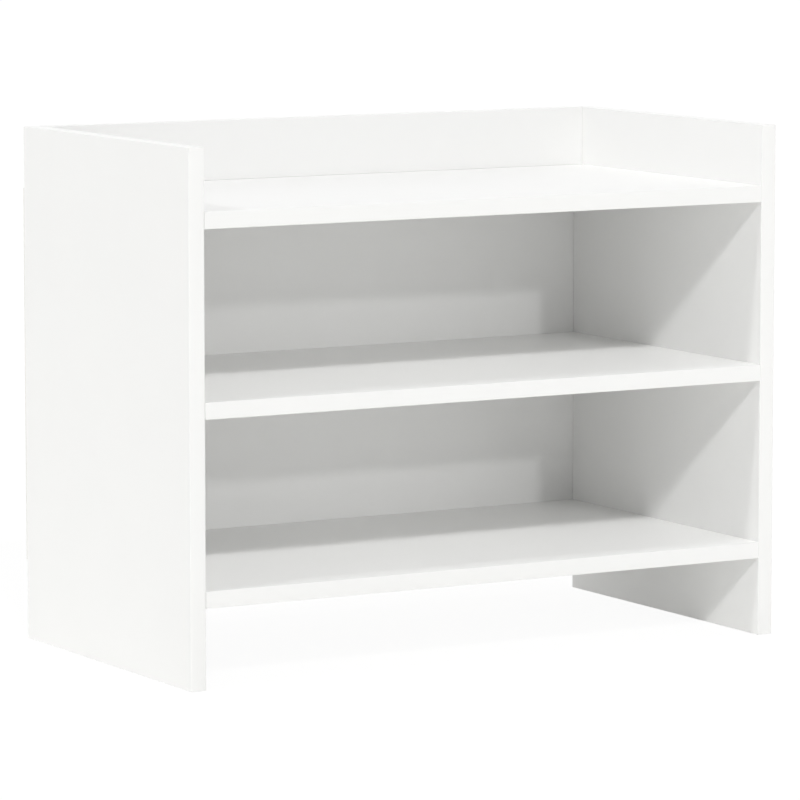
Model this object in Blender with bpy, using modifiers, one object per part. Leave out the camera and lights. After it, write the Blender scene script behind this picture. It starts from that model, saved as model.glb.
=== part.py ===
"""Desk hutch: two side panels, three fixed shelves, a rear rail and a nailed-on back panel.

The boards are joined by cam locks, cam bolts and wooden dowels.
Metres, +Z up, front towards -Y, origin at the middle of the footprint on the ground.
"""

import math

import bmesh
import bpy
from mathutils import Matrix, Vector

# Carcass
WIDTH = 0.600  # over the outer faces of the side panels
SIDE_DEPTH = 0.320  # front edge to rear edge of a side panel
HEIGHT = 0.467  # of the side panels
BOARD = 0.015  # thickness of every board
FOOT_CLEAR = 0.071  # open height under the bottom shelf
LOWER_CLEAR = 0.148  # open height between bottom and middle shelf; the upper one takes what is left
TRAY_WALL = 0.055  # height of the side panels above the top shelf
ARRIS = 0.0008  # rounding of the banded edges
ARRIS_SEGMENTS = 2
BUTT_GAP = 0.0001  # between boards that are drawn tight together

# Back panel and its nails
BACK_THICKNESS = 0.003
BACK_MARGIN = 0.001  # the sheet stops this far inside the carcass outline
NAIL_RADIUS = 0.0008
NAIL_LENGTH = 0.020  # under the head
NAIL_TIP = 0.0025
NAIL_HEAD_RADIUS = 0.0020
NAIL_HEAD_THICKNESS = 0.0007
SHELF_NAIL_INSET = 0.150  # from the outer face of a side panel, along a shelf
NAIL_SIDES = 8

# Cam locks and their bolts
CAM_RADIUS = 0.0074
CAM_CAP = 0.0011  # wall of the cam over the bolt's head
CAM_SINK = 0.0003  # exposed face below the board's face
CAM_SETBACK = 0.034  # middle of the cam from the end of its board
CAM_EDGE_INSET = 0.050  # bolt's axis from the front or rear edge of a shelf
CAM_SIDES = 16
SLOT_WIDTH = 0.0014  # arms of the cross recess
SLOT_LENGTH = 0.0100
SLOT_DEPTH = 0.0020
BOLT_THREAD_RADIUS = 0.0030
BOLT_THREAD_PITCH = 0.0025
BOLT_THREAD_DEPTH = 0.0005
BOLT_SHANK_RADIUS = 0.0034
BOLT_NECK_RADIUS = 0.0020
BOLT_HEAD_RADIUS = 0.0031
BOLT_HEAD_LENGTH = 0.0038
BOLT_CHAMFER = 0.0006
BOLT_SIDES = 10

# Dowels
DOWEL_RADIUS = 0.0040
DOWEL_LENGTH = 0.030
DOWEL_CHAMFER = 0.0010
DOWEL_SPACING = 0.032  # dowel's axis from the cam bolt's axis
DOWEL_SIDES = 12
RAIL_FITTING_INSET = 0.014  # top dowel and bottom cam bolt from the rail's long edges

# Bores
SIDE_WEB = 0.0035  # board left behind a blind bore in a side panel
FIT = 0.0003  # radial clearance of a fitting in its bore
END_ROOM = 0.0004  # free room at the end of a fitting
HEAD_ROOM = 0.0003  # around the bolt's head and neck inside the cam
CUT_OVERRUN = 0.002  # a cutter starts this far outside the face it cuts

# Places worked out from the sizes above
OVERALL_DEPTH = SIDE_DEPTH + 2 * BUTT_GAP + BACK_THICKNESS + NAIL_HEAD_THICKNESS
FRONT = -OVERALL_DEPTH / 2
REAR = FRONT + SIDE_DEPTH
MID_DEPTH = (FRONT + REAR) / 2
INNER = WIDTH / 2 - BOARD
BOTTOM_SHELF_BASE = FOOT_CLEAR
MIDDLE_SHELF_BASE = BOTTOM_SHELF_BASE + BOARD + LOWER_CLEAR
TOP_SHELF_BASE = HEIGHT - TRAY_WALL - BOARD
RAIL_BASE = TOP_SHELF_BASE + BOARD + BUTT_GAP
RAIL_MID_DEPTH = REAR - BOARD / 2
BOARD_LENGTH = 2 * (INNER - BUTT_GAP)
BORE_DEPTH = BOARD - SIDE_WEB
CAM_AXIS_HEIGHT = BOARD / 2 - CAM_SINK  # bolt's axis above the cam's exposed face
CAM_HEIGHT = CAM_AXIS_HEIGHT + BOLT_HEAD_RADIUS + HEAD_ROOM + CAM_CAP
CAM_SPIN = math.pi / CAM_SIDES  # a flat of the cam, not a corner, faces the bolt
SHELF_BASES = {
    "bottom_shelf": BOTTOM_SHELF_BASE,
    "middle_shelf": MIDDLE_SHELF_BASE,
    "top_shelf": TOP_SHELF_BASE,
}
SIDES = {"left": -1, "right": 1}

SHARP_ANGLE = math.radians(40)  # edges of turned pieces steeper than this stay crisp

# Names of the groups and of the frame that carries every part
PARTS = "desk_hutch"
CUTTERS = "desk_hutch_cutters"
FRAME = "desk_hutch_frame"

# Finishes: base colour, roughness, metallic
WHITE_LAMINATE = ("white_laminate_board", (0.86, 0.86, 0.85), 0.45, 0.0)
WHITE_HARDBOARD = ("white_faced_hardboard", (0.82, 0.82, 0.80), 0.60, 0.0)
CAST_ZINC = ("cast_zinc", (0.60, 0.61, 0.62), 0.42, 1.0)
PLATED_STEEL = ("zinc_plated_steel", (0.70, 0.70, 0.68), 0.30, 1.0)
BEECH = ("beech_wood", (0.66, 0.46, 0.28), 0.70, 0.0)


def clear_scene():
    for item in list(bpy.data.objects):
        bpy.data.objects.remove(item)
    for group in list(bpy.data.collections):
        bpy.data.collections.remove(group)


def make_groups():
    """Collections for the parts and the cutters, and the empty that carries the parts."""
    for name in (PARTS, CUTTERS):
        bpy.context.scene.collection.children.link(bpy.data.collections.new(name))
    bpy.data.collections[PARTS].objects.link(bpy.data.objects.new(FRAME, None))


def finish_material(finish):
    """Return the Principled material of a finish, made on first use."""
    name, colour, roughness, metallic = finish
    material = bpy.data.materials.get(name)
    if material is None:
        material = bpy.data.materials.new(name)
        material.use_nodes = True
        shader = material.node_tree.nodes["Principled BSDF"]
        shader.inputs["Base Color"].default_value = (*colour, 1.0)
        shader.inputs["Roughness"].default_value = roughness
        shader.inputs["Metallic"].default_value = metallic
    return material


def mesh_of(name, form):
    """Turn a bmesh into a named mesh and free it."""
    mesh = bpy.data.meshes.new(name)
    form.to_mesh(mesh)
    form.free()
    return mesh


def add_part(name, mesh, finish, place=Matrix.Identity(4)):
    """Put a named sub-part in the hutch, placed by location and rotation."""
    part = bpy.data.objects.new(name, mesh)
    if not mesh.materials:
        mesh.materials.append(finish_material(finish))
    bpy.data.collections[PARTS].objects.link(part)
    part.parent = bpy.data.objects[FRAME]
    part.location = place.to_translation()
    part.rotation_euler = place.to_euler()
    return part


def add_cutter(name, form):
    """Make a hidden cutter from a bmesh of separate closed bodies."""
    cutter = bpy.data.objects.new(name, mesh_of(name, form))
    cutter.hide_render = True
    cutter.display_type = "WIRE"
    bpy.data.collections[CUTTERS].objects.link(cutter)
    return cutter


def cut(part, cutter):
    modifier = part.modifiers.new(cutter.name, "BOOLEAN")
    modifier.operation = "DIFFERENCE"
    modifier.solver = "EXACT"
    modifier.object = cutter


def box_into(form, low, high):
    """Add a box between two corners to a bmesh."""
    low = Vector(low)
    size = Vector(high) - low
    place = Matrix.Translation(low + size / 2) @ Matrix.Diagonal((*size, 1.0))
    bmesh.ops.create_cube(form, size=1.0, matrix=place)


def rod_into(form, start, end, radius, sides, spin=0.0):
    """Add a closed straight rod from start to end to a bmesh, spun about its own axis."""
    start = Vector(start)
    run = Vector(end) - start
    turn = Vector((0, 0, 1)).rotation_difference(run).to_matrix().to_4x4()
    place = Matrix.Translation(start + run / 2) @ turn @ Matrix.Rotation(spin, 4, "Z")
    bmesh.ops.create_cone(
        form, cap_ends=True, segments=sides, radius1=radius, radius2=radius, depth=run.length, matrix=place
    )


def every_edge(middle):
    return True


def front_long_edges(middle):
    return middle.y < 0 and middle.z != 0


def top_long_edges(middle):
    return middle.z > 0 and middle.y != 0


def board(name, size, place, is_rounded):
    """Make a board centred on its place; is_rounded picks arrises by an edge's middle point."""
    form = bmesh.new()
    half = Vector(size) / 2
    box_into(form, -half, half)
    weights = form.edges.layers.float.new("bevel_weight_edge")
    for edge in form.edges:
        middle = (edge.verts[0].co + edge.verts[1].co) / 2
        edge[weights] = float(is_rounded(middle))
    part = add_part(name, mesh_of(name, form), WHITE_LAMINATE, Matrix.Translation(place))
    bevel = part.modifiers.new("arris", "BEVEL")
    bevel.limit_method = "WEIGHT"
    bevel.width = ARRIS
    bevel.segments = ARRIS_SEGMENTS
    return part


def turned(name, profile, sides):
    """Make the mesh of a turned piece from a profile of (radius, height), top to bottom."""
    mesh = bpy.data.meshes.new(name)
    points = [(radius, 0.0, height) for radius, height in profile]
    links = [(i, i + 1) for i in range(len(points) - 1)]
    mesh.from_pydata(points, links, [])
    source = bpy.data.objects.new(name, mesh)
    bpy.data.collections[PARTS].objects.link(source)
    screw = source.modifiers.new("turn", "SCREW")
    screw.steps = sides
    screw.render_steps = sides
    screw.use_merge_vertices = True
    screw.merge_threshold = 0.00001
    return evaluated_mesh(source, name)


def evaluated_mesh(source, name):
    """Bake an object's modifiers into a smooth-shaded mesh and remove the object."""
    graph = bpy.context.evaluated_depsgraph_get()
    mesh = bpy.data.meshes.new_from_object(source.evaluated_get(graph))
    bpy.data.objects.remove(source)
    mesh.name = name
    mesh.shade_smooth()
    mesh.set_sharp_from_angle(angle=SHARP_ANGLE)
    return mesh


def shelf_rows():
    """Depths of a shelf's fittings: cam bolt and dowel near the front, then near the rear."""
    return {
        "front": (FRONT + CAM_EDGE_INSET, FRONT + CAM_EDGE_INSET + DOWEL_SPACING),
        "rear": (REAR - CAM_EDGE_INSET, REAR - CAM_EDGE_INSET - DOWEL_SPACING),
    }


def joint_rows():
    """Every board joint as (board name, side, row name, cam bolt point, dowel point)."""
    rows = []
    for side, sign in SIDES.items():
        end = sign * (INNER - BUTT_GAP)
        for shelf, base in SHELF_BASES.items():
            height = base + BOARD / 2
            for row, (bolt_depth, dowel_depth) in shelf_rows().items():
                bolt = Vector((end, bolt_depth, height))
                dowel = Vector((end, dowel_depth, height))
                rows.append((shelf, side, row, bolt, dowel))
        bolt = Vector((end, RAIL_MID_DEPTH, RAIL_BASE + RAIL_FITTING_INSET))
        dowel = Vector((end, RAIL_MID_DEPTH, HEIGHT - RAIL_FITTING_INSET))
        rows.append(("rear_rail", side, "", bolt, dowel))
    return rows


def nail_points():
    """Nail names and their places on the rear edges of the shelves and side panels."""
    points = {}
    for side, sign in SIDES.items():
        for shelf, base in SHELF_BASES.items():
            along = sign * (WIDTH / 2 - SHELF_NAIL_INSET)
            points[f"{shelf}_{side}_nail"] = Vector((along, REAR, base + BOARD / 2))
        edge = sign * (WIDTH / 2 - BOARD / 2)
        lower = (BOTTOM_SHELF_BASE + BOARD + MIDDLE_SHELF_BASE) / 2
        upper = (MIDDLE_SHELF_BASE + BOARD + TOP_SHELF_BASE) / 2
        points[f"{side}_side_lower_nail"] = Vector((edge, REAR, lower))
        points[f"{side}_side_upper_nail"] = Vector((edge, REAR, upper))
    return points


def make_boards():
    """Two side panels, three shelves and the rear rail, before their bores are cut."""
    boards = {}
    for side, sign in SIDES.items():
        place = (sign * (WIDTH - BOARD) / 2, MID_DEPTH, HEIGHT / 2)
        size = (BOARD, SIDE_DEPTH, HEIGHT)
        boards[side] = board(f"{side}_side_panel", size, place, every_edge)
    for shelf, base in SHELF_BASES.items():
        place = (0.0, MID_DEPTH, base + BOARD / 2)
        size = (BOARD_LENGTH, SIDE_DEPTH, BOARD)
        boards[shelf] = board(shelf, size, place, front_long_edges)
    rail_height = HEIGHT - RAIL_BASE
    place = (0.0, RAIL_MID_DEPTH, RAIL_BASE + rail_height / 2)
    size = (BOARD_LENGTH, BOARD, rail_height)
    boards["rear_rail"] = board("rear_rail", size, place, top_long_edges)
    return boards


def make_back_panel():
    """Thin sheet behind the carcass, from the bottom shelf's underside to the top shelf's top."""
    low = (-WIDTH / 2 + BACK_MARGIN, REAR + BUTT_GAP, BOTTOM_SHELF_BASE + BACK_MARGIN)
    top = TOP_SHELF_BASE + BOARD - BACK_MARGIN
    high = (WIDTH / 2 - BACK_MARGIN, REAR + BUTT_GAP + BACK_THICKNESS, top)
    form = bmesh.new()
    box_into(form, low, high)
    return add_part("back_panel", mesh_of("back_panel", form), WHITE_HARDBOARD)


def cam_mesh():
    """Cam lock: a drum whose wide mouth lets the bolt's head in, and whose slot holds it after a turn.

    Local frame: exposed face at z = 0 facing down, the bolt comes in from +X.
    """
    form = bmesh.new()
    rod_into(form, (0, 0, 0), (0, 0, CAM_HEIGHT), CAM_RADIUS, CAM_SIDES, CAM_SPIN)
    drum = bpy.data.objects.new("cam_drum", mesh_of("cam_drum", form))
    bpy.data.collections[PARTS].objects.link(drum)
    outside = CAM_RADIUS + CUT_OVERRUN
    neck = BOLT_NECK_RADIUS + HEAD_ROOM
    head = BOLT_HEAD_RADIUS + HEAD_ROOM
    reach = BOLT_HEAD_LENGTH / 2 + HEAD_ROOM
    mouth = bmesh.new()
    low = (-reach, -head, CAM_AXIS_HEIGHT - head)
    box_into(mouth, low, (reach, outside, CAM_AXIS_HEIGHT + head))
    slot = bmesh.new()
    low = (0, -neck, CAM_AXIS_HEIGHT - neck)
    box_into(slot, low, (outside, outside, CAM_AXIS_HEIGHT + neck))
    cross = bmesh.new()
    half = SLOT_LENGTH / 2
    box_into(cross, (-half, -SLOT_WIDTH / 2, -CUT_OVERRUN), (half, SLOT_WIDTH / 2, SLOT_DEPTH))
    arm = bmesh.new()
    box_into(arm, (-SLOT_WIDTH / 2, -half, -CUT_OVERRUN), (SLOT_WIDTH / 2, half, SLOT_DEPTH))
    for name, form in (("mouth", mouth), ("slot", slot), ("cross", cross), ("cross_arm", arm)):
        cut(drum, add_cutter(f"cam_{name}_cutter", form))
    return evaluated_mesh(drum, "cam_lock")


def bolt_mesh():
    """Cam bolt along +Z: thread below z = 0 in the side panel, shank, neck and head above it."""
    tip = -(BORE_DEPTH - END_ROOM)
    head_top = CAM_SETBACK + BOLT_HEAD_LENGTH / 2
    head_base = head_top - BOLT_HEAD_LENGTH
    neck_base = CAM_SETBACK - CAM_RADIUS - FIT - END_ROOM
    root = BOLT_THREAD_RADIUS - BOLT_THREAD_DEPTH
    profile = [(0.0, head_top), (BOLT_HEAD_RADIUS - BOLT_CHAMFER, head_top)]
    profile += [(BOLT_HEAD_RADIUS, head_top - BOLT_CHAMFER), (BOLT_HEAD_RADIUS, head_base)]
    profile += [(BOLT_NECK_RADIUS, head_base), (BOLT_NECK_RADIUS, neck_base)]
    profile += [(BOLT_SHANK_RADIUS, neck_base), (BOLT_SHANK_RADIUS, BUTT_GAP)]
    turns = int((-tip - BOLT_CHAMFER) / BOLT_THREAD_PITCH)
    profile.append((root, BUTT_GAP))
    for turn in range(turns):
        start = -BOLT_THREAD_PITCH * turn
        profile.append((BOLT_THREAD_RADIUS, start - BOLT_THREAD_PITCH / 2))
        profile.append((root, start - BOLT_THREAD_PITCH))
    profile += [(root - BOLT_CHAMFER, tip), (0.0, tip)]
    return turned("cam_bolt", profile, BOLT_SIDES)


def dowel_mesh():
    """Wooden dowel along +Z with chamfered ends, z = 0 where the two boards meet."""
    low = -(BORE_DEPTH - END_ROOM)
    high = low + DOWEL_LENGTH
    slim = DOWEL_RADIUS - DOWEL_CHAMFER
    profile = [(0.0, high), (slim, high), (DOWEL_RADIUS, high - DOWEL_CHAMFER)]
    profile += [(DOWEL_RADIUS, low + DOWEL_CHAMFER), (slim, low), (0.0, low)]
    return turned("dowel", profile, DOWEL_SIDES)


def nail_mesh():
    """Flat-headed nail along +Z, z = 0 at the underside of the head."""
    profile = [(0.0, NAIL_HEAD_THICKNESS), (NAIL_HEAD_RADIUS, NAIL_HEAD_THICKNESS)]
    profile += [(NAIL_HEAD_RADIUS, 0.0), (NAIL_RADIUS, 0.0)]
    profile += [(NAIL_RADIUS, NAIL_TIP - NAIL_LENGTH), (0.0, -NAIL_LENGTH)]
    return turned("nail", profile, NAIL_SIDES)


def joint_place(point, sign):
    """Frame of a bolt or dowel at a board's end, local +Z pointing into the board."""
    turn = Matrix.Rotation(-sign * math.pi / 2, 4, "Y")
    return Matrix.Translation(point) @ turn


def cam_place(name, bolt, sign):
    """Frame of a cam lock: exposed face down on a shelf, to the rear on the rail."""
    centre = bolt - Vector((sign * CAM_SETBACK, 0, 0))
    facing = Matrix.Identity(4)
    drop = Vector((0, 0, -CAM_AXIS_HEIGHT))
    if name == "rear_rail":
        facing = Matrix.Rotation(math.pi / 2, 4, "X")
        drop = Vector((0, CAM_AXIS_HEIGHT, 0))
    spin = Matrix.Rotation(0.0 if sign > 0 else math.pi, 4, "Z")
    return Matrix.Translation(centre + drop) @ facing @ spin


def make_fittings():
    """Cam locks, cam bolts, dowels and nails, each a node of its own."""
    cam_form = cam_mesh()
    bolt_form = bolt_mesh()
    dowel_form = dowel_mesh()
    nail_form = nail_mesh()
    for name, side, row, bolt, dowel in joint_rows():
        sign = SIDES[side]
        label = "_".join(word for word in (name, side, row) if word)
        add_part(f"{label}_cam_lock", cam_form, CAST_ZINC, cam_place(name, bolt, sign))
        add_part(f"{label}_cam_bolt", bolt_form, PLATED_STEEL, joint_place(bolt, sign))
        add_part(f"{label}_dowel", dowel_form, BEECH, joint_place(dowel, sign))
    seat = Vector((0, 2 * BUTT_GAP + BACK_THICKNESS, 0))
    turn = Matrix.Rotation(-math.pi / 2, 4, "X")
    for name, point in nail_points().items():
        add_part(name, nail_form, PLATED_STEEL, Matrix.Translation(point + seat) @ turn)


def cut_joint_bores(boards):
    """Bores for bolts and dowels in both boards of a joint, and the cam pockets."""
    bores = {name: bmesh.new() for name in boards}
    pockets = {name: bmesh.new() for name in boards if name not in SIDES}
    for name, side, _row, bolt, dowel in joint_rows():
        inward = Vector((-SIDES[side], 0, 0))
        bolt_radius = BOLT_SHANK_RADIUS + FIT
        dowel_radius = DOWEL_RADIUS + FIT
        thread_radius = BOLT_THREAD_RADIUS + FIT
        dowel_run = DOWEL_LENGTH - BORE_DEPTH + 2 * END_ROOM
        outside = -inward * CUT_OVERRUN
        rod_into(bores[name], bolt + outside, bolt + inward * CAM_SETBACK, bolt_radius, BOLT_SIDES)
        rod_into(bores[name], dowel + outside, dowel + inward * dowel_run, dowel_radius, DOWEL_SIDES)
        for point, radius, sides in (
            (bolt, thread_radius, BOLT_SIDES),
            (dowel, dowel_radius, DOWEL_SIDES),
        ):
            blind = point - inward * (BUTT_GAP + BORE_DEPTH)
            rod_into(bores[side], point - outside, blind, radius, sides)
        facing = cam_place(name, bolt, SIDES[side])
        mouth = facing @ Vector((0, 0, -CAM_SINK - CUT_OVERRUN))
        floor = facing @ Vector((0, 0, CAM_HEIGHT + END_ROOM))
        rod_into(pockets[name], mouth, floor, CAM_RADIUS + FIT, CAM_SIDES, CAM_SPIN)
    for name, form in pockets.items():
        cut(boards[name], add_cutter(f"{name}_cam_pocket_cutter", form))
    for name, form in bores.items():
        cut(boards[name], add_cutter(f"{boards[name].name}_bore_cutter", form))


def cut_nail_bores(boards, back):
    """Pilot bores for the nails through the back panel and into the rear edges."""
    forms = {name: bmesh.new() for name in (*SHELF_BASES, *SIDES)}
    sheet = bmesh.new()
    radius = NAIL_RADIUS + FIT
    seat = 2 * BUTT_GAP + BACK_THICKNESS
    for name, point in nail_points().items():
        owner = next(key for key in forms if name.startswith(key))
        tip = point + Vector((0, seat - NAIL_LENGTH - END_ROOM, 0))
        out = point + Vector((0, seat + CUT_OVERRUN, 0))
        rod_into(forms[owner], out, tip, radius, NAIL_SIDES)
        rod_into(sheet, out, tip, radius, NAIL_SIDES)
    cut(back, add_cutter("back_panel_nail_bore_cutter", sheet))
    for name, form in forms.items():
        cut(boards[name], add_cutter(f"{boards[name].name}_nail_bore_cutter", form))


def main():
    clear_scene()
    make_groups()
    boards = make_boards()
    back = make_back_panel()
    make_fittings()
    cut_joint_bores(boards)
    cut_nail_bores(boards, back)


main()
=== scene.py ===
import math

import bmesh
import bpy
from mathutils import Matrix, Vector


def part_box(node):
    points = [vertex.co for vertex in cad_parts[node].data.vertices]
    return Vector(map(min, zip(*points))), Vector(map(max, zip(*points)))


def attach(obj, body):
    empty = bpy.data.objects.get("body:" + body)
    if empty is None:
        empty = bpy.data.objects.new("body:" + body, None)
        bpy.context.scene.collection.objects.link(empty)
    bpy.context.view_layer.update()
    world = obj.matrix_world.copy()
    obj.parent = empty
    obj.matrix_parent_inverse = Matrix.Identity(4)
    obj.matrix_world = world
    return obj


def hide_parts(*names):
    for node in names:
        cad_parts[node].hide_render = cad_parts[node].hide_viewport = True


bl_info = {
    "name": "Desk hutch",
    "version": (1, 0, 0),
    "blender": (4, 5, 0),
    "location": "3D View > Sidebar > Desk hutch",
    "description": "White open desk hutch of edge-banded boards, cam fittings and a nailed-on back panel",
    "category": "Object",
}

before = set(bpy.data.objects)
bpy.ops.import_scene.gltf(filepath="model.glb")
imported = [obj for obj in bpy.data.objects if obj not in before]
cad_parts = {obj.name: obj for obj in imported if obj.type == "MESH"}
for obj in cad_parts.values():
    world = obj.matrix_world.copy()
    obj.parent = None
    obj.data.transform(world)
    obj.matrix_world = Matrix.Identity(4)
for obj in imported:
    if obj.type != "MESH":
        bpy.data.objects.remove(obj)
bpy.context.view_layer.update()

BODY = "root"
MM = 0.001

SIDES = {"left": -1, "right": 1}
SHELVES = ("bottom_shelf", "middle_shelf", "top_shelf")
ROWS = ("front", "rear")
X, Y, Z = range(3)

# Pieces that the other lights bring to white, so the lamps for the compartments are flagged off them
OUTER_PIECES = (
    "left_side_board",
    "left_side_front_band",
    "left_side_top_band",
    "right_side_front_band",
    "right_side_top_band",
    "bottom_shelf_front_band",
    "middle_shelf_front_band",
    "top_shelf_front_band",
    "top_shelf_board",
    "rear_rail_board",
    "rear_rail_top_band",
)

# Each lamp: its strength's setting, where its light goes, and how wide it looks in degrees
KEY_HEADING = (0.42, 1.24, -1.0)
LAMPS = {
    "key_lamp": ("key_light", KEY_HEADING, 5.0),
    "shelf_lamp": ("shelf_light", KEY_HEADING, 5.0),
    "low_lamp": ("low_light", (-0.115, 1.0, -0.3286), 2.2),
    "side_lamp": ("side_light", (0.8, 0.13, -1.0), 4.0),
    "top_lamp": ("top_light", (0.05, -0.12, -1.0), 8.0),
}
COMPARTMENT_LAMPS = ("shelf_lamp", "low_lamp")

# The photograph's view: a long lens from the left front, a little above the hutch
SENSOR = 36.0  # mm
LENS = 223.04  # mm
CAMERA_PLACE = (-2.24143, -3.87074, 0.76102)
CAMERA_DIP = 0.1210564  # radians below level
CAMERA_TURN = -0.5249914  # radians round Z

FLOOR_SIZE = 40.0
FLOOR_DROP = 0.2 * MM  # keeps the floor clear of the feet
FLOOR_WHITE = 1.02  # a little over white, which makes up for the shaded share
FLOOR_SHOWN = 0.9  # share of that white in what is seen, the rest being lit and shaded floor

# Fittings, in metres. They follow the CAD fittings, with rounder forms.
CAM_RADIUS = 7.4 * MM
CAM_HEIGHT = 11.7 * MM
CAM_AXIS_HEIGHT = 7.2 * MM  # bolt's axis above the exposed face
CAM_SINK = 0.3 * MM  # exposed face below the board's face
PLAY = 0.3 * MM  # radial room round a fitting in its bore
END_ROOM = 0.4 * MM  # free room at the end of a fitting
BOLT_SHANK_RADIUS = 3.4 * MM
BOLT_THREAD_RADIUS = 3.0 * MM
BOLT_HEAD_RADIUS = 3.1 * MM
BOLT_NECK_RADIUS = 2.0 * MM
BOLT_HEAD_LENGTH = 3.8 * MM
DOWEL_RADIUS = 4.0 * MM
NAIL_RADIUS = 0.8 * MM
OVERRUN = 2.0 * MM  # a cutter starts this far outside the face it cuts
MERGE = 0.001 * MM  # points closer than this become one

# Turned profiles, as (radius, height) in mm
CAM_PROFILE = (
    (0.0, 0.0),
    (5.45, 0.0),
    (5.6, 0.2),
    (6.1, 0.2),
    (6.25, 0.0),
    (7.15, 0.0),
    (7.4, 0.25),
    (7.4, 11.45),
    (7.15, 11.7),
    (0.0, 11.7),
)
NAIL_PROFILE = (
    (0.0, 0.7),
    (1.2, 0.66),
    (1.7, 0.55),
    (1.92, 0.4),
    (2.0, 0.22),
    (1.9, 0.04),
    (1.75, 0.0),
    (0.95, 0.0),
    (0.8, -0.3),
    (0.8, -17.5),
    (0.0, -20.0),
)
NAIL_HEAD = 0.7 * MM  # its height above the back panel
ARM = (5.0 * MM, 0.7 * MM, 2.0 * MM)  # of a cam's cross recess: half its length and width, and its depth
ARM_TAPER = (0.62, 0.8)  # along and across an arm, at its bottom
POINTER_SIZE = 1.0 * MM
POINTER_PLACE = (6.35 * MM, 0.0, -0.1 * MM)  # on a cam, beside the bolt

POCKET_SIDES = 48
BORE_SIDES = 24
TURNED_SIDES = 48
ARRIS_STEPS = 5
BREAK_STEPS = 2
CREASE = math.radians(35)  # edges steeper than this stay crisp
FLAT = 0.9995  # a face this square to an axis is shaded flat
HALF_TURNED = 0.5  # a chamfer leans this far towards an axis at least
ROUGH_GRAIN = {"Detail": 3.0, "Roughness": 0.6}  # noise with more fine grain than the default


def srgb(code):
    """Turn an sRGB hex colour such as "F2F1EE" into linear red, green and blue."""
    parts = [int(code[i : i + 2], 16) / 255 for i in (0, 2, 4)]
    return tuple(p / 12.92 if p <= 0.04045 else ((p + 0.055) / 1.055) ** 2.4 for p in parts)


# Settings that a user would change


def length_setting(name, description, default, low, high):
    return bpy.props.FloatProperty(
        name=name,
        description=description,
        default=default,
        min=low,
        max=high,
        precision=5,
        unit="LENGTH",
        subtype="DISTANCE",
    )


def colour_setting(name, description, code):
    return bpy.props.FloatVectorProperty(
        name=name,
        description=description,
        default=srgb(code),
        size=3,
        min=0.0,
        max=1.0,
        subtype="COLOR",
    )


def light_setting(name, description, default):
    return bpy.props.FloatProperty(name=name, description=description, default=default, min=0.0, max=20.0)


class BoardSettings(bpy.types.PropertyGroup):
    """Sizes and colours of the laminated boards and their edge bands."""

    band: length_setting("Band", "Thickness of the strip on a board's edge", 1.0 * MM, 0.9 * MM, 2.0 * MM)
    arris: length_setting("Arris", "Radius along the outer edges of a strip", 0.8 * MM, 0.1 * MM, 0.85 * MM)
    hairline: length_setting("Hairline", "Chamfer beside a strip", 0.03 * MM, 0.02 * MM, 0.4 * MM)
    laminate: colour_setting("Laminate", "Colour of the laminated faces", "F5F5F4")
    strip: colour_setting("Strip", "Colour of the edge bands", "F5F5F4")
    chipboard: colour_setting("Chipboard", "Colour of bare chipboard in bores and on hidden edges", "C4A57A")


class BackSettings(bpy.types.PropertyGroup):
    """Sizes and colours of the thin back panel."""

    edge_break: length_setting("Edge break", "Chamfer along the sawn edges", 0.25 * MM, 0.05 * MM, 0.8 * MM)
    face: colour_setting("Face", "Colour of the lacquered face in the compartments", "F5F5F4")
    reverse: colour_setting("Reverse", "Colour of the primed reverse", "E9E8E3")


class FittingSettings(bpy.types.PropertyGroup):
    """Colours of the cam locks, bolts, nails and dowels."""

    zinc: colour_setting("Zinc", "Colour of the cast cam locks", "B9BCBF")
    steel: colour_setting("Steel", "Colour of the plated bolts and nails", "CFCFCB")
    beech: colour_setting("Beech", "Colour of the dowels", "D2AC7C")


class StageSettings(bpy.types.PropertyGroup):
    """Colours and strengths of the studio."""

    floor: colour_setting("Floor", "Colour of the pale floor", "EBEBE9")
    floor_glow: light_setting("Floor glow", "Light that the floor gives off, as a light table does", 0.06)
    key_light: light_setting("Key light", "Light from the front, a little to the left", 0.84)
    shelf_light: light_setting("Shelf light", "More of the key light, for the insides alone", 0.88)
    low_light: light_setting("Low light", "Weak low light from the front", 0.3)
    side_light: light_setting("Side light", "Light from the left", 0.52)
    top_light: light_setting("Top light", "Light from overhead", 0.42)
    room_light: light_setting("Room light", "Even white light from all round", 0.45)
    front_fill: light_setting("Front fill", "Broad glow in front, to the right", 0.75)
    rear_fill: light_setting("Rear fill", "Broad glow behind", 1.2)


SETTINGS = {
    "hutch_boards": BoardSettings,
    "hutch_back": BackSettings,
    "hutch_fittings": FittingSettings,
    "hutch_stage": StageSettings,
}


# Materials


def add_node(tree, kind, values=None, links=None, **settings):
    """Add a node, set its settings and socket values, and link its inputs."""
    node = tree.nodes.new(kind)
    for key, value in settings.items():
        setattr(node, key, value)
    for socket, value in (values or {}).items():
        node.inputs[socket].default_value = value
    for socket, source in (links or {}).items():
        tree.links.new(source, node.inputs[socket])
    return node


def shaded(colour, shade):
    """Give a linear colour times shade as the four numbers of a colour socket."""
    return (*(min(1.0, shade * part) for part in colour), 1.0)


def even(colour):
    """Give the dark and the light end of a white that hardly varies."""
    return shaded(colour, 0.99), shaded(colour, 1.01)


def start_material(name, ior=1.5, metallic=0.0):
    """Make a Principled material. Return it, its tree, its shader and a link to Object coordinates."""
    material = bpy.data.materials.new(name)
    material.use_nodes = True
    tree = material.node_tree
    shader = tree.nodes["Principled BSDF"]
    shader.inputs["Metallic"].default_value = metallic
    shader.inputs["IOR"].default_value = ior
    coords = add_node(tree, "ShaderNodeTexCoord")
    return material, tree, shader, {"Vector": coords.outputs["Object"]}


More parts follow.
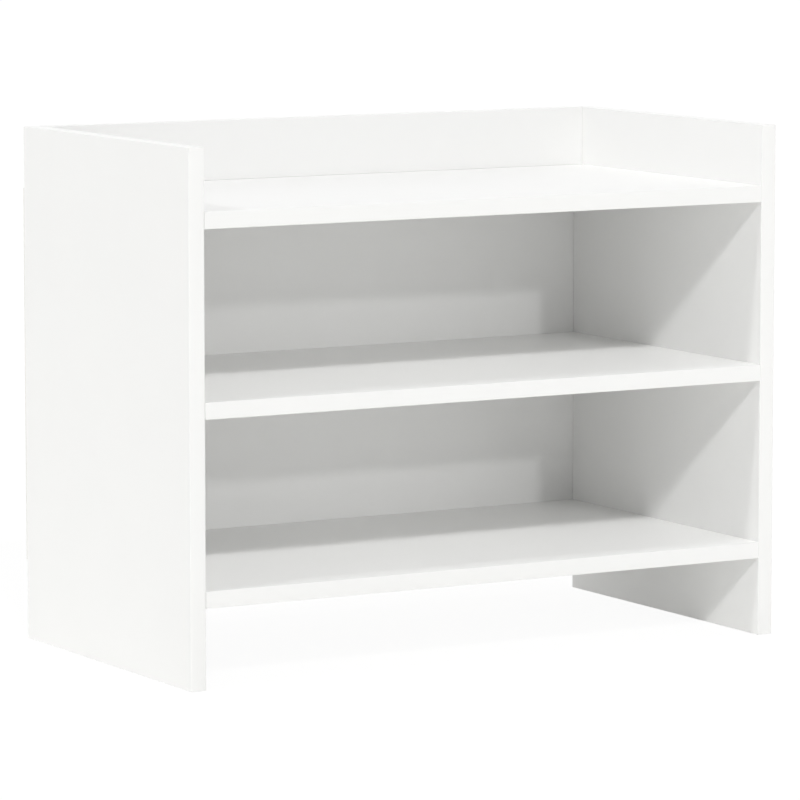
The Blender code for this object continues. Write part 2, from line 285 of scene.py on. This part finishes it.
def finish_shader(tree, shader, colours, tone, sheen, grain, depth):
    """Drive a shader's colour by tone, and its roughness and normal by grain, which is depth high."""
    dark, light = colours
    mixed = add_node(tree, "ShaderNodeMix", {"A": dark, "B": light}, {"Factor": tone}, data_type="RGBA")
    # Noise lies mostly between 0.3 and 0.7
    spread = {"From Min": 0.3, "From Max": 0.7, "To Min": sheen[0], "To Max": sheen[1]}
    rough = add_node(tree, "ShaderNodeMapRange", spread, {"Value": grain})
    bump = add_node(tree, "ShaderNodeBump", {"Strength": 1.0, "Distance": depth}, {"Height": grain})
    tree.links.new(mixed.outputs["Result"], shader.inputs["Base Color"])
    tree.links.new(rough.outputs["Result"], shader.inputs["Roughness"])
    tree.links.new(bump.outputs["Normal"], shader.inputs["Normal"])


def melamine_laminate(name, colour):
    """Chipboard faced with white melamine paper, pressed against a fine pearl plate.

    It gives the eye an even satin white whose sheen wavers a little, with soft-edged highlights.
    """
    material, tree, shader, place = start_material(name, 1.55)
    # Slow unevenness of the pressed sheet
    drift = add_node(tree, "ShaderNodeTexNoise", {"Scale": 1 / (90 * MM)}, place)
    # The real pearl is about 0.5 mm across, too fine to show, so it is drawn at 1.6 mm
    pearl = add_node(tree, "ShaderNodeTexNoise", {"Scale": 1 / (1.6 * MM), **ROUGH_GRAIN}, place)
    fine = pearl.outputs["Fac"]
    finish_shader(tree, shader, even(colour), drift.outputs["Fac"], (0.38, 0.47), fine, 0.006 * MM)
    return material


def abs_edge_band(name, colour):
    """Strip of extruded white ABS, glued on and scraped flush.

    It gives the eye the same white as the face, a little smoother, with a thin bright line on each arris.
    """
    material, tree, shader, place = start_material(name, 1.54)
    drift = add_node(tree, "ShaderNodeTexNoise", {"Scale": 1 / (60 * MM)}, place)
    # Scraper chatter is about 0.3 mm across, too fine to show, so it is drawn at 1.2 mm
    chatter = add_node(tree, "ShaderNodeTexNoise", {"Scale": 1 / (1.2 * MM)}, place)
    fine = chatter.outputs["Fac"]
    finish_shader(tree, shader, even(colour), drift.outputs["Fac"], (0.32, 0.40), fine, 0.004 * MM)
    return material


def bare_chipboard(name, colour):
    """Sawn chipboard: glued wood flakes one to four millimetres long.

    It gives the eye a speckle of pale and brown flakes with a rough, dull surface.
    """
    material, tree, shader, place = start_material(name)
    flakes = add_node(tree, "ShaderNodeTexVoronoi", {"Scale": 1 / (2.5 * MM)}, place)
    tint = add_node(tree, "ShaderNodeSeparateColor", None, {"Color": flakes.outputs["Color"]})
    grit = add_node(tree, "ShaderNodeTexNoise", {"Scale": 1 / (1.0 * MM), **ROUGH_GRAIN}, place)
    colours = (shaded(colour, 0.62), shaded(colour, 1.25))
    finish_shader(tree, shader, colours, tint.outputs["Red"], (0.78, 0.92), grit.outputs["Fac"], 0.15 * MM)
    return material


def lacquered_hardboard(name, colour):
    """Thin hardboard with a rolled-on white lacquer.

    It gives the eye a flat white a shade duller than the boards, with a faint roller stipple.
    """
    material, tree, shader, place = start_material(name)
    drift = add_node(tree, "ShaderNodeTexNoise", {"Scale": 1 / (70 * MM)}, place)
    # Roller stipple is about 0.8 mm across, too fine to show, so it is drawn at 2 mm
    stipple = add_node(tree, "ShaderNodeTexNoise", {"Scale": 1 / (2.0 * MM)}, place)
    fine = stipple.outputs["Fac"]
    finish_shader(tree, shader, even(colour), drift.outputs["Fac"], (0.46, 0.56), fine, 0.01 * MM)
    return material


def primed_hardboard(name, colour):
    """Reverse and edges of the hardboard, only primed, so the pressed fibres show through.

    It gives the eye a matt off-white with short pale and grey fibres lying along the sheet.
    """
    material, tree, shader, place = start_material(name)
    # Fibres are about 0.3 mm wide, too fine to show, so they are drawn at 1.5 mm by 7 mm
    drawn = add_node(tree, "ShaderNodeMapping", {"Scale": (0.2, 1.0, 1.0)}, place)
    along = {"Vector": drawn.outputs["Vector"]}
    fibres = add_node(tree, "ShaderNodeTexNoise", {"Scale": 1 / (1.5 * MM), **ROUGH_GRAIN}, along)
    felt = add_node(tree, "ShaderNodeTexNoise", {"Scale": 1 / (4.0 * MM), **ROUGH_GRAIN}, place)
    colours = (shaded(colour, 0.93), shaded(colour, 1.05))
    finish_shader(tree, shader, colours, fibres.outputs["Fac"], (0.66, 0.78), felt.outputs["Fac"], 0.03 * MM)
    return material


def die_cast_zinc(name, colour):
    """Zinc alloy cast in a steel die and tumbled.

    It gives the eye a dull grey metal with a fine orange-peel grain and brighter rubbed patches.
    """
    material, tree, shader, place = start_material(name, metallic=1.0)
    rubbed = add_node(tree, "ShaderNodeTexNoise", {"Scale": 1 / (3.0 * MM)}, place)
    # Die grain is about 0.2 mm across, too fine to show, so it is drawn at 0.5 mm
    grain = add_node(tree, "ShaderNodeTexNoise", {"Scale": 1 / (0.5 * MM)}, place)
    colours = (shaded(colour, 0.82), shaded(colour, 1.06))
    finish_shader(tree, shader, colours, rubbed.outputs["Fac"], (0.34, 0.52), grain.outputs["Fac"], 0.02 * MM)
    return material


def bright_zinc_plate(name, colour):
    """Turned steel with a thin bright zinc plating.

    It gives the eye a cool silvery metal, fairly smooth, with faint cloudy patches.
    """
    material, tree, shader, place = start_material(name, metallic=1.0)
    clouds = add_node(tree, "ShaderNodeTexNoise", {"Scale": 1 / (2.0 * MM)}, place)
    grain = add_node(tree, "ShaderNodeTexNoise", {"Scale": 1 / (0.4 * MM)}, place)
    colours = (shaded(colour, 0.88), shaded(colour, 1.05))
    finish_shader(tree, shader, colours, clouds.outputs["Fac"], (0.22, 0.36), grain.outputs["Fac"], 0.01 * MM)
    return material


def steamed_beech(name, colour):
    """Turned beech dowel rod, its grain along the rod, which lies along X.

    It gives the eye a warm pinkish brown with short darker flecks drawn out along the grain.
    """
    material, tree, shader, place = start_material(name)
    drawn = add_node(tree, "ShaderNodeMapping", {"Scale": (0.12, 1.0, 1.0)}, place)
    along = {"Vector": drawn.outputs["Vector"]}
    flecks = add_node(tree, "ShaderNodeTexNoise", {"Scale": 1 / (0.5 * MM), **ROUGH_GRAIN}, along)
    pores = add_node(tree, "ShaderNodeTexNoise", {"Scale": 1 / (0.25 * MM)}, along)
    colours = (shaded(colour, 0.72), shaded(colour, 1.1))
    finish_shader(tree, shader, colours, flecks.outputs["Fac"], (0.55, 0.7), pores.outputs["Fac"], 0.03 * MM)
    return material


FINISHES = {
    "white_melamine_laminate": (melamine_laminate, "hutch_boards", "laminate"),
    "white_abs_edge_band": (abs_edge_band, "hutch_boards", "strip"),
    "bare_chipboard": (bare_chipboard, "hutch_boards", "chipboard"),
    "white_lacquered_hardboard": (lacquered_hardboard, "hutch_back", "face"),
    "primed_hardboard": (primed_hardboard, "hutch_back", "reverse"),
    "die_cast_zinc": (die_cast_zinc, "hutch_fittings", "zinc"),
    "bright_zinc_plate": (bright_zinc_plate, "hutch_fittings", "steel"),
    "steamed_beech": (steamed_beech, "hutch_fittings", "beech"),
}


def finish(name):
    """Return a material by its finish, made on first use from the settings."""
    made = bpy.data.materials.get(name)
    if made is None:
        maker, group, colour = FINISHES[name]
        made = maker(name, tuple(getattr(getattr(bpy.context.scene, group), colour)))
    return made


# Forms


def box_form(low, high):
    """Start a form as a box between two corners."""
    form = bmesh.new()
    add_box(form, low, high)
    return form


def add_box(form, low, high):
    low = Vector(low)
    size = Vector(high) - low
    place = Matrix.Translation(low + size / 2) @ Matrix.Diagonal((*size, 1.0))
    bmesh.ops.create_cube(form, size=1.0, matrix=place)


def add_rod(form, start, end, radius, sides=BORE_SIDES):
    """Add a closed straight rod from start to end."""
    run = Vector(end) - Vector(start)
    turn = Vector((0, 0, 1)).rotation_difference(run).to_matrix().to_4x4()
    place = Matrix.Translation(Vector(start) + run / 2) @ turn
    bmesh.ops.create_cone(
        form, cap_ends=True, segments=sides, radius1=radius, radius2=radius, depth=run.length, matrix=place
    )


def soften(form, edges, width, segments):
    """Round edges of a form."""
    bmesh.ops.bevel(
        form,
        geom=edges,
        offset=width,
        offset_type="OFFSET",
        segments=segments,
        profile=0.5,
        affect="EDGES",
        material=-1,
    )


def carve(form, finishes, cutters=()):
    """Cut cutters out of a form one after the other and return its mesh.

    Faces keep their own material index, and the walls of a cut take the last finish.
    """
    scene = bpy.context.scene
    part = bpy.data.objects.new("blank", mesh_of("blank", form))
    for name in finishes:
        part.data.materials.append(finish(name))
    scene.collection.objects.link(part)
    tools = []
    for cutter in cutters:
        for face in cutter.faces:
            face.material_index = len(finishes) - 1
        tool = bpy.data.objects.new("cutter", mesh_of("cutter", cutter))
        scene.collection.objects.link(tool)
        cut = part.modifiers.new("cut", "BOOLEAN")
        cut.operation = "DIFFERENCE"
        cut.solver = "EXACT"
        cut.material_mode = "INDEX"
        cut.object = tool
        tools.append(tool)
    graph = bpy.context.evaluated_depsgraph_get()
    mesh = bpy.data.meshes.new_from_object(part.evaluated_get(graph))
    merged = bmesh.new()
    merged.from_mesh(mesh)
    bmesh.ops.remove_doubles(merged, verts=merged.verts[:], dist=MERGE)
    merged.to_mesh(mesh)
    merged.free()
    for item in (part, *tools):
        data = item.data
        bpy.data.objects.remove(item)
        bpy.data.meshes.remove(data)
    return mesh


def mesh_of(name, form):
    """Turn a form into a mesh and free it."""
    mesh = bpy.data.meshes.new(name)
    form.to_mesh(mesh)
    form.free()
    return mesh


def smooth_rounds(mesh):
    """Shade rounded faces smooth and leave faces square to an axis flat."""
    for face in mesh.polygons:
        face.use_smooth = max(abs(part) for part in face.normal) < FLAT
    # With sharp edges marked, flat faces don't pull on the normals of the rounds beside them
    mesh.set_sharp_from_angle(angle=CREASE)


def add_piece(name, mesh, slot, *nodes):
    """Put a finished mesh in the scene as a piece that rides on the hutch and stands for CAD nodes."""
    mesh.name = name
    piece = bpy.data.objects.new(name, mesh)
    bpy.context.scene.collection.objects.link(piece)
    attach(piece, BODY)
    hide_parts(*nodes)
    return piece


def make_core(name, node, banded, face_axis, cutters):
    """Make a board without its bands: laminated across face_axis, bare chipboard elsewhere.

    banded holds the (axis, sign) of each edge that carries a band.
    """
    boards = bpy.context.scene.hutch_boards
    low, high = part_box(node)
    for axis, sign in banded:
        corner = high if sign > 0 else low
        corner[axis] -= sign * boards.band
    form = box_form(low, high)
    soften(form, form.edges[:], boards.hairline, 1)
    for face in form.faces:
        face.material_index = 0 if abs(face.normal[face_axis]) > HALF_TURNED else 1
    mesh = carve(form, ("white_melamine_laminate", "bare_chipboard"), cutters)
    smooth_rounds(mesh)
    return add_piece(name, mesh, "white_board", node)


def make_band(name, node, side, between=(), cutters=()):
    """Make the strip on one edge of a board; side is its (axis, sign).

    between holds other banded sides whose strips run past the ends of this one. A strip that runs
    on to the end of its board has its end edges rounded too.
    """
    boards = bpy.context.scene.hutch_boards
    low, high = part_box(node)
    axis, sign = side
    near = boards.band / 10
    glued = (high if sign > 0 else low)[axis] - sign * boards.band
    corner = low if sign > 0 else high
    corner[axis] = glued
    butted = set()
    for other, way in between:
        corner = high if way > 0 else low
        corner[other] -= way * boards.band
        butted.add(other)
    form = box_form(low, high)
    rounded = []
    for edge in form.edges:
        points = [vert.co for vert in edge.verts]
        on_glue = all(abs(point[axis] - glued) < near for point in points)
        at_end = any(abs(points[0][other] - points[1][other]) < near for other in butted)
        if not on_glue and not at_end:
            rounded.append(edge)
    soften(form, rounded, boards.arris, ARRIS_STEPS)
    mesh = carve(form, ("white_abs_edge_band",), cutters)
    smooth_rounds(mesh)
    return add_piece(name, mesh, "white_board", node)


def labels_of(board):
    """Names of a board's joints, as (side, label)."""
    if board == "rear_rail":
        return [(side, f"{board}_{side}") for side in SIDES]
    return [(side, f"{board}_{side}_{row}") for side in SIDES for row in ROWS]


def middle(node):
    low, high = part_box(node)
    return (low + high) / 2


def nail_form(nodes):
    """Cutter for the pilot bores of nails that lie along Y."""
    form = bmesh.new()
    for node in nodes:
        low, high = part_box(node)
        centre = (low + high) / 2
        start = (centre.x, high.y + OVERRUN, centre.z)
        add_rod(form, start, (centre.x, low.y - END_ROOM, centre.z), NAIL_RADIUS + PLAY)
    return form


def joint_cutters(board):
    """Cutters for a shelf or the rail: cam pockets, then bolt and dowel bores."""
    pockets = bmesh.new()
    bores = bmesh.new()
    low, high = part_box(board)
    for side, label in labels_of(board):
        sign = SIDES[side]
        end = (high if sign > 0 else low).x + sign * OVERRUN
        cam = middle(f"{label}_cam_lock")
        bolt = middle(f"{label}_cam_bolt")
        dowel = middle(f"{label}_dowel")
        dowel_low, dowel_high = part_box(f"{label}_dowel")
        dowel_end = (dowel_low if sign > 0 else dowel_high).x - sign * END_ROOM
        if board == "rear_rail":
            mouth = Vector((cam.x, high.y + OVERRUN, cam.z))
            floor = Vector((cam.x, high.y - CAM_SINK - CAM_HEIGHT - END_ROOM, cam.z))
        else:
            mouth = Vector((cam.x, cam.y, low.z - OVERRUN))
            floor = Vector((cam.x, cam.y, low.z + CAM_SINK + CAM_HEIGHT + END_ROOM))
        add_rod(pockets, mouth, floor, CAM_RADIUS + PLAY, POCKET_SIDES)
        add_rod(bores, (end, bolt.y, bolt.z), (cam.x, bolt.y, bolt.z), BOLT_SHANK_RADIUS + PLAY)
        add_rod(bores, (end, dowel.y, dowel.z), (dowel_end, dowel.y, dowel.z), DOWEL_RADIUS + PLAY)
    return [pockets, bores]


def side_cutters(side):
    """Cutters for a side panel: blind bores for the bolts and dowels of every board it carries."""
    form = bmesh.new()
    sign = SIDES[side]
    low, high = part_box(f"{side}_side_panel")
    start = (low if sign > 0 else high).x - sign * OVERRUN
    for board in (*SHELVES, "rear_rail"):
        for owner, label in labels_of(board):
            if owner != side:
                continue
            for kind, radius in (("cam_bolt", BOLT_THREAD_RADIUS), ("dowel", DOWEL_RADIUS)):
                near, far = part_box(f"{label}_{kind}")
                centre = (near + far) / 2
                tip = (far if sign > 0 else near).x + sign * END_ROOM
                add_rod(form, (start, centre.y, centre.z), (tip, centre.y, centre.z), radius + PLAY)
    return form


def spin_profile(points):
    """Turn a profile of (radius, height) in mm round Z into a closed form."""
    form = bmesh.new()
    verts = [form.verts.new((radius * MM, 0.0, height * MM)) for radius, height in points]
    edges = [form.edges.new(pair) for pair in zip(verts, verts[1:])]
    bmesh.ops.spin(
        form,
        geom=[*verts, *edges],
        cent=(0, 0, 0),
        axis=(0, 0, 1),
        dvec=(0, 0, 0),
        angle=math.tau,
        steps=TURNED_SIDES,
        use_merge=True,
        use_normal_flip=False,
        use_duplicate=False,
    )
    bmesh.ops.remove_doubles(form, verts=form.verts[:], dist=MERGE)
    bmesh.ops.recalc_face_normals(form, faces=form.faces[:])
    return form


def place_copy(mesh, place):
    """Copy a mesh made at the origin to its place."""
    copy = mesh.copy()
    copy.transform(place)
    return copy


# Operators, one for each piece or group of like pieces


class DESKHUTCH_OT_side_panels(bpy.types.Operator):
    """Make the two side panels, banded on all four edges"""

    bl_idname = "desk_hutch.side_panels"
    bl_label = "Side panels"
    bl_options = {"REGISTER", "UNDO"}

    def execute(self, context):
        long_sides = ((Y, -1), (Y, 1))
        for side in SIDES:
            node = f"{side}_side_panel"
            nails = [f"{side}_side_{level}_nail" for level in ("lower", "upper")]
            cutters = [side_cutters(side), nail_form(nails)]
            make_core(f"{side}_side_board", node, (*long_sides, (Z, -1), (Z, 1)), X, cutters)
            make_band(f"{side}_side_front_band", node, (Y, -1))
            make_band(f"{side}_side_rear_band", node, (Y, 1), cutters=[nail_form(nails)])
            make_band(f"{side}_side_top_band", node, (Z, 1), long_sides)
            make_band(f"{side}_side_foot_band", node, (Z, -1), long_sides)
        return {"FINISHED"}


class DESKHUTCH_OT_shelves(bpy.types.Operator):
    """Make the three shelves, banded along the front"""

    bl_idname = "desk_hutch.shelves"
    bl_label = "Shelves"
    bl_options = {"REGISTER", "UNDO"}

    def execute(self, context):
        for shelf in SHELVES:
            nails = [f"{shelf}_{side}_nail" for side in SIDES]
            cutters = [*joint_cutters(shelf), nail_form(nails)]
            make_core(f"{shelf}_board", shelf, ((Y, -1),), Z, cutters)
            make_band(f"{shelf}_front_band", shelf, (Y, -1), ((X, 0),))
        return {"FINISHED"}


class DESKHUTCH_OT_rear_rail(bpy.types.Operator):
    """Make the rail behind the tray, banded along the top"""

    bl_idname = "desk_hutch.rear_rail"
    bl_label = "Rear rail"
    bl_options = {"REGISTER", "UNDO"}

    def execute(self, context):
        make_core("rear_rail_board", "rear_rail", ((Z, 1),), Y, joint_cutters("rear_rail"))
        make_band("rear_rail_top_band", "rear_rail", (Z, 1), ((X, 0),))
        return {"FINISHED"}


class DESKHUTCH_OT_back_panel(bpy.types.Operator):
    """Make the thin back panel, lacquered on the face and primed on the reverse"""

    bl_idname = "desk_hutch.back_panel"
    bl_label = "Back panel"
    bl_options = {"REGISTER", "UNDO"}

    def execute(self, context):
        form = box_form(*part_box("back_panel"))
        for face in form.faces:
            face.material_index = 0 if face.normal.y < -FLAT else 1
        soften(form, form.edges[:], context.scene.hutch_back.edge_break, BREAK_STEPS)
        nails = [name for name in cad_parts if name.endswith("_nail")]
        mesh = carve(form, ("white_lacquered_hardboard", "primed_hardboard"), [nail_form(nails)])
        smooth_rounds(mesh)
        add_piece("back_sheet", mesh, "white_hardboard", "back_panel")
        return {"FINISHED"}


class DESKHUTCH_OT_cam_locks(bpy.types.Operator):
    """Make the cast cam locks under the shelves and behind the rail"""

    bl_idname = "desk_hutch.cam_locks"
    bl_label = "Cam locks"
    bl_options = {"REGISTER", "UNDO"}

    def execute(self, context):
        mesh = self.cam_mesh()
        for board in (*SHELVES, "rear_rail"):
            for side, label in labels_of(board):
                node = f"{label}_cam_lock"
                low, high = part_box(node)
                centre = (low + high) / 2
                facing = Matrix.Identity(4)
                seat = Vector((centre.x, centre.y, low.z))
                if board == "rear_rail":
                    facing = Matrix.Rotation(math.pi / 2, 4, "X")
                    seat = Vector((centre.x, high.y, centre.z))
                spin = Matrix.Rotation(0.0 if SIDES[side] > 0 else math.pi, 4, "Z")
                copy = place_copy(mesh, Matrix.Translation(seat) @ facing @ spin)
                add_piece(f"{label}_cam", copy, "cast_zinc", node)
        bpy.data.meshes.remove(mesh)
        return {"FINISHED"}

    def cam_mesh(self):
        """Drum with a rim, a cross recess, a pointer, and the mouth and slot for the bolt's head.

        Its exposed face is at z = 0 and faces down, and the bolt comes in from +X.
        """
        drum = spin_profile(CAM_PROFILE)
        outside = CAM_RADIUS + OVERRUN
        neck = BOLT_NECK_RADIUS + PLAY
        head = BOLT_HEAD_RADIUS + PLAY
        reach = BOLT_HEAD_LENGTH / 2 + PLAY
        low = (-reach, -head, CAM_AXIS_HEIGHT - head)
        mouth = box_form(low, (reach, outside, CAM_AXIS_HEIGHT + head))
        slot = box_form((0, -neck, CAM_AXIS_HEIGHT - neck), (outside, outside, CAM_AXIS_HEIGHT + neck))
        cutters = [mouth, slot]
        length, width, depth = ARM
        for spin in (0, math.pi / 2):
            arm = box_form((-length, -width, -OVERRUN), (length, width, depth))
            for vert in arm.verts:
                if vert.co.z > 0:
                    vert.co.x *= ARM_TAPER[0]
                    vert.co.y *= ARM_TAPER[1]
            bmesh.ops.rotate(arm, verts=arm.verts[:], cent=(0, 0, 0), matrix=Matrix.Rotation(spin, 3, "Z"))
            cutters.append(arm)
        pointer = bmesh.new()
        seat = Matrix.Translation(POINTER_PLACE)
        bmesh.ops.create_cone(
            pointer,
            cap_ends=True,
            segments=3,
            radius1=POINTER_SIZE,
            radius2=POINTER_SIZE,
            depth=POINTER_SIZE,
            matrix=seat @ Matrix.Rotation(-math.pi / 2, 4, "Z"),
        )
        cutters.append(pointer)
        mesh = carve(drum, ("die_cast_zinc",), cutters)
        mesh.shade_smooth()
        mesh.set_sharp_from_angle(angle=CREASE)
        return mesh


class DESKHUTCH_OT_cam_bolts(bpy.types.Operator):
    """Finish the cam bolts, which stay as the CAD has them"""

    bl_idname = "desk_hutch.cam_bolts"
    bl_label = "Cam bolts"
    bl_options = {"REGISTER", "UNDO"}

    def execute(self, context):
        for name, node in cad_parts.items():
            if name.endswith("_cam_bolt"):
                node.material_slots[0].material = finish("bright_zinc_plate")
        return {"FINISHED"}


class DESKHUTCH_OT_dowels(bpy.types.Operator):
    """Finish the dowels, which stay as the CAD has them"""

    bl_idname = "desk_hutch.dowels"
    bl_label = "Dowels"
    bl_options = {"REGISTER", "UNDO"}

    def execute(self, context):
        for name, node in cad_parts.items():
            if name.endswith("_dowel"):
                node.material_slots[0].material = finish("steamed_beech")
        return {"FINISHED"}


class DESKHUTCH_OT_nails(bpy.types.Operator):
    """Make the nails that hold the back panel"""

    bl_idname = "desk_hutch.nails"
    bl_label = "Nails"
    bl_options = {"REGISTER", "UNDO"}

    def execute(self, context):
        mesh = carve(spin_profile(NAIL_PROFILE), ("bright_zinc_plate",))
        mesh.shade_smooth()
        mesh.set_sharp_from_angle(angle=CREASE)
        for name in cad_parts:
            if not name.endswith("_nail"):
                continue
            centre = middle(name)
            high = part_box(name)[1]
            seat = Matrix.Translation((centre.x, high.y - NAIL_HEAD, centre.z))
            copy = place_copy(mesh, seat @ Matrix.Rotation(-math.pi / 2, 4, "X"))
            add_piece(f"{name}_round", copy, "plated_steel", name)
        bpy.data.meshes.remove(mesh)
        return {"FINISHED"}


class DESKHUTCH_OT_stage(bpy.types.Operator):
    """Set the camera, the floor, the room's light and the lamps"""

    bl_idname = "desk_hutch.stage"
    bl_label = "Stage"
    bl_options = {"REGISTER", "UNDO"}

    def execute(self, context):
        context.scene.view_settings.view_transform = "Standard"
        self.add_camera(context.scene)
        self.add_floor(context.scene)
        self.light_room(context.scene)
        stage = context.scene.hutch_stage
        for name, (setting, heading, width) in LAMPS.items():
            lamp = self.add_lamp(context.scene, name, heading, getattr(stage, setting), width)
            if name in COMPARTMENT_LAMPS:
                self.flag_off(lamp, OUTER_PIECES)
        return {"FINISHED"}

    def add_camera(self, scene):
        """Set the photograph's view."""
        data = bpy.data.cameras.new("camera")
        data.sensor_width = SENSOR
        data.lens = LENS
        data.clip_end = 200.0
        camera = bpy.data.objects.new("camera", data)
        camera.location = CAMERA_PLACE
        camera.rotation_euler = (math.pi / 2 - CAMERA_DIP, 0.0, CAMERA_TURN)
        scene.collection.objects.link(camera)
        scene.camera = camera

    def add_floor(self, scene):
        """A wide pale floor that the camera sees as white where nothing shades it."""
        form = bmesh.new()
        bmesh.ops.create_grid(form, x_segments=1, y_segments=1, size=FLOOR_SIZE)
        bmesh.ops.translate(form, verts=form.verts[:], vec=(0, 0, -FLOOR_DROP))
        mesh = mesh_of("studio_floor", form)
        # Rolled studio paper: dead matt, with a slow unevenness
        material, tree, shader, place = start_material("pale_studio_floor")
        drift = add_node(tree, "ShaderNodeTexNoise", {"Scale": 1 / (600 * MM)}, place).outputs["Fac"]
        finish_shader(tree, shader, even(scene.hutch_stage.floor), drift, (0.85, 0.95), drift, 0.01 * MM)
        shader.inputs["Specular IOR Level"].default_value = 0.0
        shader.inputs["Emission Color"].default_value = (1.0, 1.0, 1.0, 1.0)
        shader.inputs["Emission Strength"].default_value = scene.hutch_stage.floor_glow
        seen = self.seen_directly(tree)
        glow = add_node(tree, "ShaderNodeEmission", {"Strength": FLOOR_WHITE})
        mixed = add_node(tree, "ShaderNodeMath", {1: FLOOR_SHOWN}, {0: seen}, operation="MULTIPLY")
        both = add_node(
            tree,
            "ShaderNodeMixShader",
            None,
            {0: mixed.outputs[0], 1: shader.outputs["BSDF"], 2: glow.outputs["Emission"]},
        )
        tree.links.new(both.outputs["Shader"], tree.nodes["Material Output"].inputs["Surface"])
        mesh.materials.append(material)
        floor = bpy.data.objects.new("studio_floor", mesh)
        scene.collection.objects.link(floor)

    def seen_directly(self, tree):
        """1 where the camera, a reflection or clear matter sees the surface, else 0."""
        path = add_node(tree, "ShaderNodeLightPath")
        seen = path.outputs["Is Camera Ray"]
        for ray in ("Is Glossy Ray", "Is Transmission Ray"):
            links = {0: seen, 1: path.outputs[ray]}
            seen = add_node(tree, "ShaderNodeMath", None, links, operation="MAXIMUM").outputs[0]
        return seen

    def light_room(self, scene):
        """White all round where it is seen; where it only lights, an even glow with two broad lobes."""
        stage = scene.hutch_stage
        world = bpy.data.worlds.new("white_room")
        world.use_nodes = True
        tree = world.node_tree
        back = tree.nodes["Background"]
        back.inputs["Color"].default_value = (1.0, 1.0, 1.0, 1.0)
        heading = add_node(tree, "ShaderNodeTexCoord").outputs["Generated"]
        # Each lobe: its least and full strength, the way it lies, and the cosines of its last and full angles
        lobes = (
            (stage.room_light, stage.room_light + stage.front_fill, (0.3, -0.95, 0.1), 0.85, 0.99),
            (0.0, stage.rear_fill, (0.0, 1.0, 0.36), 0.70, 0.97),
        )
        parts = []
        for least, most, way, last, full in lobes:
            axis = Vector(way).normalized()
            near = add_node(tree, "ShaderNodeVectorMath", {1: axis}, {0: heading}, operation="DOT_PRODUCT")
            lobe = add_node(
                tree,
                "ShaderNodeMapRange",
                {"From Min": last, "From Max": full, "To Min": least, "To Max": most},
                {"Value": near.outputs["Value"]},
                interpolation_type="SMOOTHSTEP",
            )
            parts.append(lobe.outputs["Result"])
        total = parts[0]
        for part in parts[1:]:
            total = add_node(tree, "ShaderNodeMath", None, {0: total, 1: part}, operation="ADD").outputs[0]
        links = {"Value": self.seen_directly(tree), "To Min": total}
        shown = add_node(tree, "ShaderNodeMapRange", {"To Max": 1.0}, links)
        tree.links.new(shown.outputs["Result"], back.inputs["Strength"])
        scene.world = world

    def add_lamp(self, scene, name, heading, strength, width):
        """A distant soft lamp whose light goes along heading."""
        data = bpy.data.lights.new(name, "SUN")
        data.energy = strength
        data.angle = math.radians(width)
        lamp = bpy.data.objects.new(name, data)
        lamp.rotation_euler = Vector(heading).to_track_quat("-Z", "Y").to_euler()
        lamp.location = -2.0 * Vector(heading).normalized()
        scene.collection.objects.link(lamp)
        return lamp

    def flag_off(self, lamp, names):
        """Keep a lamp's own light off some pieces, as a flag in front of it would."""
        flagged = bpy.data.collections.new(f"{lamp.name}_flag")
        for name in names:
            flagged.objects.link(bpy.data.objects[name])
        lamp.light_linking.receiver_collection = flagged
        for entry in flagged.collection_objects:
            entry.light_linking.link_state = "EXCLUDE"


class DESKHUTCH_PT_sidebar(bpy.types.Panel):
    """Settings and pieces of the desk hutch"""

    bl_idname = "DESKHUTCH_PT_sidebar"
    bl_label = "Desk hutch"
    bl_space_type = "VIEW_3D"
    bl_region_type = "UI"
    bl_category = "Desk hutch"

    def draw(self, context):
        for attribute, group in SETTINGS.items():
            box = self.layout.box()
            box.label(text=group.__doc__)
            for setting in group.__annotations__:
                box.prop(getattr(context.scene, attribute), setting)
        for operator in OPERATORS:
            self.layout.operator(operator.bl_idname)


OPERATORS = (
    DESKHUTCH_OT_side_panels,
    DESKHUTCH_OT_shelves,
    DESKHUTCH_OT_rear_rail,
    DESKHUTCH_OT_back_panel,
    DESKHUTCH_OT_cam_locks,
    DESKHUTCH_OT_cam_bolts,
    DESKHUTCH_OT_dowels,
    DESKHUTCH_OT_nails,
    DESKHUTCH_OT_stage,
)
CLASSES = (*SETTINGS.values(), *OPERATORS, DESKHUTCH_PT_sidebar)


def register():
    for each in CLASSES:
        bpy.utils.register_class(each)
    for attribute, group in SETTINGS.items():
        setattr(bpy.types.Scene, attribute, bpy.props.PointerProperty(type=group))


def unregister():
    for attribute in SETTINGS:
        delattr(bpy.types.Scene, attribute)
    for each in reversed(CLASSES):
        bpy.utils.unregister_class(each)


def main():
    register()
    bpy.ops.desk_hutch.side_panels()
    bpy.ops.desk_hutch.shelves()
    bpy.ops.desk_hutch.rear_rail()
    bpy.ops.desk_hutch.back_panel()
    bpy.ops.desk_hutch.cam_locks()
    bpy.ops.desk_hutch.cam_bolts()
    bpy.ops.desk_hutch.dowels()
    bpy.ops.desk_hutch.nails()
    bpy.ops.desk_hutch.stage()


if __name__ == "__main__":
    main()
